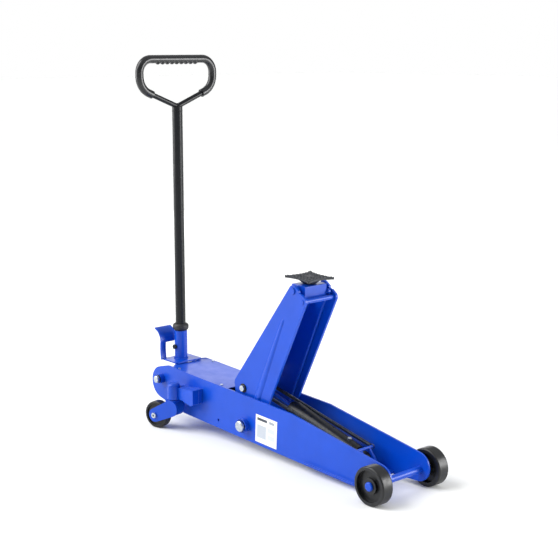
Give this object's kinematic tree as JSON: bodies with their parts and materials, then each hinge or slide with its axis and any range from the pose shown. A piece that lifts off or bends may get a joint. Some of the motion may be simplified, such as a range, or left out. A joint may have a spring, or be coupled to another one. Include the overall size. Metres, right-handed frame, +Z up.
{
  "type": "hydraulic trolley jack",
  "caption": "Long low rolling floor jack with a raised lifting arm and toothed saddle, swivel casters and an upright pumping handle with a loop grip.",
  "frame": {"origin": "middle of the footprint on the floor", "axes": "+X towards the front wheels, +Y to the jack's left, +Z up"},
  "size_m": [1.2136, 0.3592, 1.288],
  "materials": {
    "blue_paint": "glossy",
    "handle_black": "semi-gloss",
    "grip_black": "glossy",
    "wheel_nylon": "satin",
    "zinc": "plated",
    "black_steel": "satin",
    "ram_steel": "ground and plated",
    "spring_steel": "satin",
    "cast_iron": "rough",
    "black_rubber": "matte",
    "label_white": "satin",
    "bronze": "satin"
  },
  "bodies": {
    "chassis": {"side_plate_right": "blue_paint", "side_plate_left": "blue_paint", "top_cover": "blue_paint", "cover_screws": "zinc", "front_bottom_plate": "blue_paint", "pump_base_plate": "blue_paint", "front_axle": "blue_paint", "axle_end_caps": "blue_paint", "main_pivot_shaft": "zinc", "rear_pivot_shaft": "zinc", "pivot_nuts": "zinc", "pivot_washers": "black_steel", "levelling_lug": "blue_paint", "anchor_bracket": "blue_paint", "cylinder_anchor_pin": "zinc", "swivel_caps": "blue_paint", "label_plate": "label_white", "pump_block": "black_steel", "block_plugs": "zinc", "reservoir_tank": "black_steel", "oil_pipe": "zinc", "caster_bracket_right": "blue_paint", "caster_bracket_left": "blue_paint"},
    "lift_arm": {"arm_plate_right": "blue_paint", "arm_plate_left": "blue_paint", "arm_web": "blue_paint", "arm_tie_bar": "blue_paint", "arm_bushes": "bronze", "ram_pin": "zinc", "ram_pin_clips": "black_steel", "carrier_pins": "blue_paint"},
    "carrier": {"saddle_carrier": "blue_paint"},
    "saddle_head": {"saddle": "cast_iron"},
    "levelling": {"levelling_rod": "blue_paint"},
    "cylinder": {"cylinder_barrel": "black_steel", "gland_nut": "black_steel", "bleed_screw": "zinc", "return_spring_right": "spring_steel", "return_spring_left": "spring_steel"},
    "ram": {"piston_rod": "ram_steel", "piston": "ram_steel"},
    "wheel_right": {"front_wheel_right": "wheel_nylon"},
    "wheel_left": {"front_wheel_left": "wheel_nylon"},
    "fork_right": {"caster_fork_right": "blue_paint", "caster_bolt_right": "zinc"},
    "fork_left": {"caster_fork_left": "blue_paint", "caster_bolt_left": "zinc"},
    "roller_right": {"caster_wheel_right": "wheel_nylon"},
    "roller_left": {"caster_wheel_left": "wheel_nylon"},
    "yoke": {"handle_yoke": "blue_paint", "cam_roller": "ram_steel", "socket_screw": "black_steel", "socket_collar": "black_rubber", "foot_pedal": "blue_paint"},
    "handle": {"handle_tube": "handle_black", "grip_frame": "handle_black", "grip_sleeve": "grip_black"},
    "plunger": {"pump_plunger": "ram_steel", "plunger_spring": "spring_steel"},
    "release_valve": {"release_spindle": "zinc"}
  },
  "joints": [
    {"name": "arm_lift", "type": "hinge", "parent": "chassis", "child": "lift_arm", "pos_m": [-0.0752, 0, 0.088], "axis": [0, 1, 0], "range_deg": [0, 63]},
    {"name": "saddle_level", "type": "hinge", "parent": "lift_arm", "child": "carrier", "pos_m": [0.13831, 0, 0.56981], "axis": [0, 1, 0], "range_deg": [-63, 0]},
    {"name": "saddle_turn", "type": "hinge", "parent": "carrier", "child": "saddle_head", "pos_m": [0.13898, 0, 0.5848], "axis": [0.0445, 0, 0.999], "continuous": true},
    {"name": "levelling_swing", "type": "hinge", "parent": "chassis", "child": "levelling", "pos_m": [-0.04503, 0.053, 0.07463], "axis": [0, 1, 0], "range_deg": [0, 63]},
    {"name": "cylinder_tilt", "type": "hinge", "parent": "chassis", "child": "cylinder", "pos_m": [0.3868, 0, 0.072], "axis": [0, 1, 0], "range_deg": [-1.08, 0]},
    {"name": "ram_slide", "type": "slide", "parent": "cylinder", "child": "ram", "axis": [-0.9649, 0, 0.2624], "range_m": [-0.1252, 0], "deforming": ["return_spring_right", "return_spring_left"]},
    {"name": "front_wheel_roll_right", "type": "hinge", "parent": "chassis", "child": "wheel_right", "pos_m": [0.5468, -0.1226, 0.06], "axis": [0, 1, 0], "continuous": true},
    {"name": "front_wheel_roll_left", "type": "hinge", "parent": "chassis", "child": "wheel_left", "pos_m": [0.5468, 0.1226, 0.06], "axis": [0, 1, 0], "continuous": true},
    {"name": "caster_swivel_right", "type": "hinge", "parent": "chassis", "child": "fork_right", "pos_m": [-0.4052, -0.131, 0.103], "axis": [0, 0, 1], "range_deg": [-27, 175]},
    {"name": "caster_roll_right", "type": "hinge", "parent": "fork_right", "child": "roller_right", "pos_m": [-0.47281, -0.14912, 0.0475], "axis": [-0.2588, 0.9659, 0], "continuous": true},
    {"name": "caster_swivel_left", "type": "hinge", "parent": "chassis", "child": "fork_left", "pos_m": [-0.4052, 0.131, 0.103], "axis": [0, 0, 1], "range_deg": [-175, 27]},
    {"name": "caster_roll_left", "type": "hinge", "parent": "fork_left", "child": "roller_left", "pos_m": [-0.47281, 0.14912, 0.0475], "axis": [0.2588, 0.9659, 0], "continuous": true},
    {"name": "handle_pump", "type": "hinge", "parent": "chassis", "child": "yoke", "pos_m": [-0.5332, 0, 0.153], "axis": [0, 1, 0], "range_deg": [-60, 0]},
    {"name": "handle_twist", "type": "hinge", "parent": "yoke", "child": "handle", "pos_m": [-0.5332, 0, 0.18], "axis": [0, 0, 1], "range_deg": [0, 90]},
    {"name": "plunger_stroke", "type": "slide", "parent": "chassis", "child": "plunger", "axis": [1, 0, 0], "range_m": [0, 0.0401], "deforming": ["plunger_spring"]},
    {"name": "release_turn", "type": "hinge", "parent": "chassis", "child": "release_valve", "pos_m": [-0.4872, 0.034, 0.12755], "axis": [1, 0, 0], "range_deg": [0, 90]}
  ],
  "couplings": [
    {"joint": "saddle_level", "follows": "arm_lift", "ratio": -1},
    {"joint": "levelling_swing", "follows": "arm_lift", "ratio": 1},
    {"joint": "cylinder_tilt", "follows": "arm_lift", "ratio": -0.017165},
    {"joint": "ram_slide", "follows": "arm_lift", "m_per_rad": -0.11387},
    {"joint": "plunger_stroke", "follows": "handle_pump", "m_per_rad": -0.0382},
    {"joint": "release_turn", "follows": "handle_twist", "ratio": 1}
  ]
}
